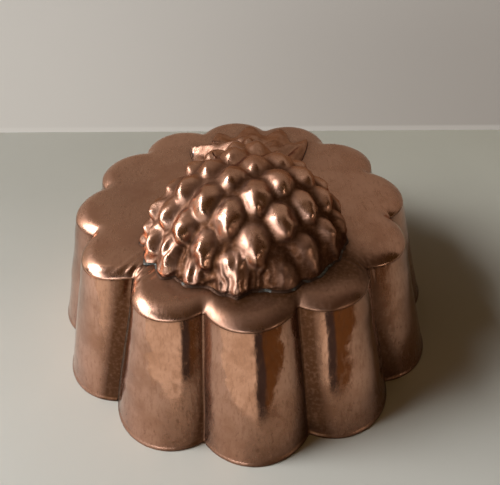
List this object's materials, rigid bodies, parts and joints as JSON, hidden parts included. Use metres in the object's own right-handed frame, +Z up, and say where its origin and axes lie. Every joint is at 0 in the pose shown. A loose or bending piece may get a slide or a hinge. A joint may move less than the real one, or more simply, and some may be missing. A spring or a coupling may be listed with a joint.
{
  "type": "dessert mould",
  "caption": "Round fluted copper dessert mould with a flat top plate and a hollow pineapple relief on it, standing on its open rim.",
  "frame": {"origin": "centre of the bounding box on the plane of the rim, which is the mould's resting plane", "axes": "+Z up, from the open rim to the relief; -Y to the front, where the pineapple's blunt end lies, with its crown towards +Y"},
  "size_m": [0.159, 0.159, 0.0811],
  "materials": {
    "wall_copper": "polished copper, worn",
    "plate_copper": "satin copper, browned",
    "relief_copper": "polished copper, dark in the grooves",
    "seam_braze": "braze",
    "foot_solder": "dull grey tin solder",
    "joint_solder": "tin solder"
  },
  "bodies": {
    "root": {"side_wall": "wall_copper", "side_seam_braze": "seam_braze", "top_plate": "plate_copper", "plate_joint_solder": "joint_solder", "pineapple_relief": "relief_copper", "foot_solder": "foot_solder"}
  },
  "joints": []
}
